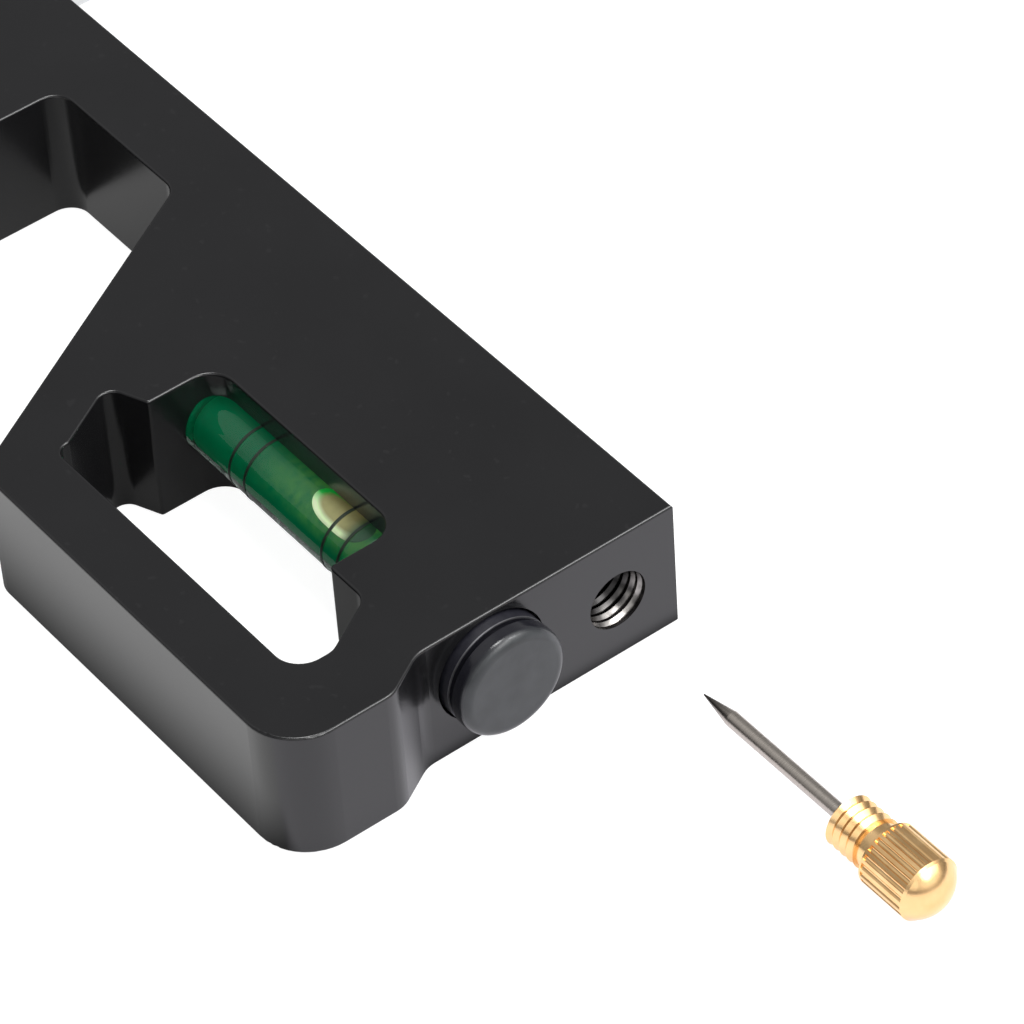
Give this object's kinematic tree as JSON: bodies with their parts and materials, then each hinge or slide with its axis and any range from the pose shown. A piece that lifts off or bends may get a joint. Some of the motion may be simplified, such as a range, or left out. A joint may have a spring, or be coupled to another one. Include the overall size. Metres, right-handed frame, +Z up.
{
  "type": "multifunction square",
  "caption": "Flat black square head with a windowed spirit vial, a clamped sliding steel rule, angled faces and a screw-in brass scriber lying in front.",
  "frame": {"origin": "the lower corner where the rule's datum edge crosses the 90 degree reference face, on the face the tool lies on", "axes": "+X along the reference face to the small end face with the scriber hole, +Y out of the reference face along the rule, +Z up through the thickness"},
  "size_m": [0.1862, 0.3, 0.016],
  "materials": {
    "anodised_head": "satin black anodised",
    "rule_steel": "satin, engraved graduations",
    "bolt_steel": "turned, zinc plated",
    "spring_steel": "drawn wire",
    "nut_nickel": "nickel plated, knurled",
    "vial_acrylic": "clear, polished",
    "vial_plug_plastic": "moulded",
    "vial_spirit": "green liquid",
    "vial_air": "air",
    "mark_black": "printed ink",
    "pad_rubber": "matt",
    "plug_steel": "blackened, turned",
    "cap_plastic": "fine matt",
    "seal_rubber": "matt",
    "scriber_brass": "turned, fluted, polished",
    "needle_steel": "ground, hardened"
  },
  "bodies": {
    "square_head": {"head": "anodised_head", "clamp_spring": "spring_steel", "clamp_washer": "bolt_steel", "vial_tube": "vial_acrylic", "vial_plug": "vial_plug_plastic", "vial_liquid": "vial_spirit", "vial_mark_1": "mark_black", "vial_mark_2": "mark_black", "vial_mark_3": "mark_black", "vial_mark_4": "mark_black", "vial_pad": "pad_rubber", "bore_plug_seal": "seal_rubber"},
    "rule_blade": {"rule": "rule_steel"},
    "clamp_screw": {"clamp_bolt": "bolt_steel"},
    "thumb_nut": {"clamp_nut": "nut_nickel"},
    "bubble": {"vial_bubble": "vial_air"},
    "screw_plug": {"bore_plug": "plug_steel", "bore_plug_cap": "cap_plastic"},
    "scriber": {"scriber_knob": "scriber_brass", "scriber_needle": "needle_steel"}
  },
  "joints": [
    {"name": "rule_slide", "type": "slide", "parent": "square_head", "child": "rule_blade", "axis": [0, 1, 0], "range_m": [-0.175, 0.08]},
    {"name": "clamp_nut_turn", "type": "hinge", "parent": "square_head", "child": "thumb_nut", "pos_m": [0.025, -0.033, 0.008], "axis": [1, 0, 0], "range_deg": [0, 360]},
    {"name": "clamp_bolt_draw", "type": "slide", "parent": "square_head", "child": "clamp_screw", "axis": [-1, 0, 0], "range_m": [0, 0.0008]},
    {"name": "bore_plug_turn", "type": "hinge", "parent": "square_head", "child": "screw_plug", "pos_m": [0.113, -0.0229, 0.009], "axis": [1, 0, 0], "continuous": true},
    {"name": "scriber_slide", "type": "slide", "parent": "square_head", "child": "scriber", "axis": [-0.9948, -0.0176, 0.1004], "range_m": [0, 0.03986]},
    {"name": "bubble_slide", "type": "slide", "parent": "square_head", "child": "bubble", "axis": [-1, 0, 0], "range_m": [-0.0004, 0.017]}
  ],
  "couplings": [
    {"joint": "clamp_bolt_draw", "follows": "clamp_nut_turn", "m_per_rad": 0.00012732}
  ]
}
